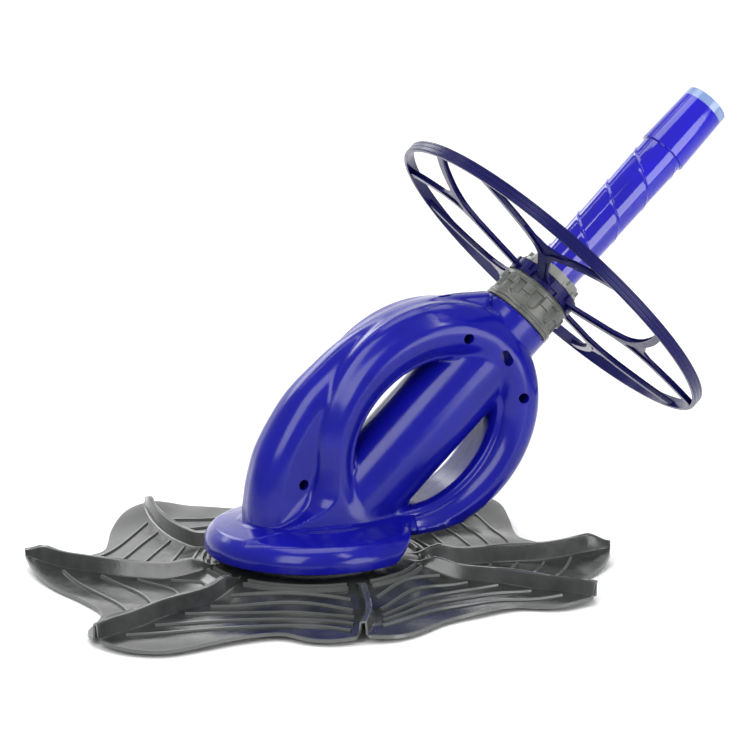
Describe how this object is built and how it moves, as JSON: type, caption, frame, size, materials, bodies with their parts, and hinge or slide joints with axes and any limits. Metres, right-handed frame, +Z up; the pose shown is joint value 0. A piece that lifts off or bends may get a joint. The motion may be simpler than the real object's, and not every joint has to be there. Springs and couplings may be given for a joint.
{
  "type": "pool cleaner",
  "caption": "Suction pool cleaner: tilted ring-shaped body on a round foot with a soft finned disc, a hand nut, a spoked deflector wheel and a clear tinted extension pipe.",
  "frame": {"origin": "centre of the suction mouth at the underside of the foot pad, on the floor", "axes": "+Z up; +X horizontal, the way the flow pipe leans; +Y completes a right-handed set, square to the body's seam"},
  "size_m": [0.6122, 0.4407, 0.4039],
  "materials": {
    "blue_gloss": "moulded cobalt blue, glossy",
    "blue_inner": "moulded blue, semi-matt",
    "black_rubber": "moulded black rubber",
    "white_plastic": "natural acetal",
    "grey_elastomer": "glossy grey elastomer",
    "grey_plastic": "moulded grey, satin",
    "clear_blue": "tinted clear deep blue",
    "clear_light_blue": "tinted clear pale blue",
    "navy_plastic": "moulded navy, semi-gloss",
    "stainless": "stainless steel",
    "cast_weight": "coated casting",
    "foam": "closed-cell foam"
  },
  "bodies": {
    "body": {"right_body_shell": "blue_gloss", "left_body_shell": "blue_gloss", "foot_flange": "blue_gloss", "liner_tube": "blue_inner", "foot_pad": "black_rubber", "disc_bush": "white_plastic", "bush_snap_ring": "white_plastic", "body_screws": "stainless", "flange_screws": "stainless", "foot_pad_screws": "stainless", "ballast_weight": "cast_weight", "buoyancy_float": "foam"},
    "disc": {"finned_disc": "grey_elastomer"},
    "column": {"cassette_housing": "white_plastic", "diaphragm_retaining_ring": "grey_plastic", "diaphragm": "black_rubber", "inner_extension_pipe": "grey_plastic", "cassette_seal_ring": "black_rubber", "compression_ring": "white_plastic", "neck_gasket": "black_rubber", "outer_extension_pipe": "clear_blue", "hose_end_ring": "clear_light_blue", "wheel_bearing_sleeve": "grey_plastic", "wheel_retaining_clip": "grey_plastic"},
    "nut": {"hand_nut": "grey_plastic"},
    "wheel": {"deflector_wheel": "navy_plastic"}
  },
  "joints": [
    {"name": "disc_spin", "type": "hinge", "parent": "body", "child": "disc", "pos_m": [0, 0, 0.014], "axis": [0, 0, 1], "continuous": true},
    {"name": "column_slide", "type": "slide", "parent": "body", "child": "column", "axis": [0.7071, 0, 0.7071], "range_m": [0, 0.07]},
    {"name": "nut_turn", "type": "hinge", "parent": "column", "child": "nut", "pos_m": [0.19375, 0, 0.21975], "axis": [0.7071, 0, 0.7071], "range_deg": [0, 70]},
    {"name": "wheel_spin", "type": "hinge", "parent": "column", "child": "wheel", "pos_m": [0.21708, 0, 0.24308], "axis": [0.7071, 0, 0.7071], "continuous": true}
  ]
}
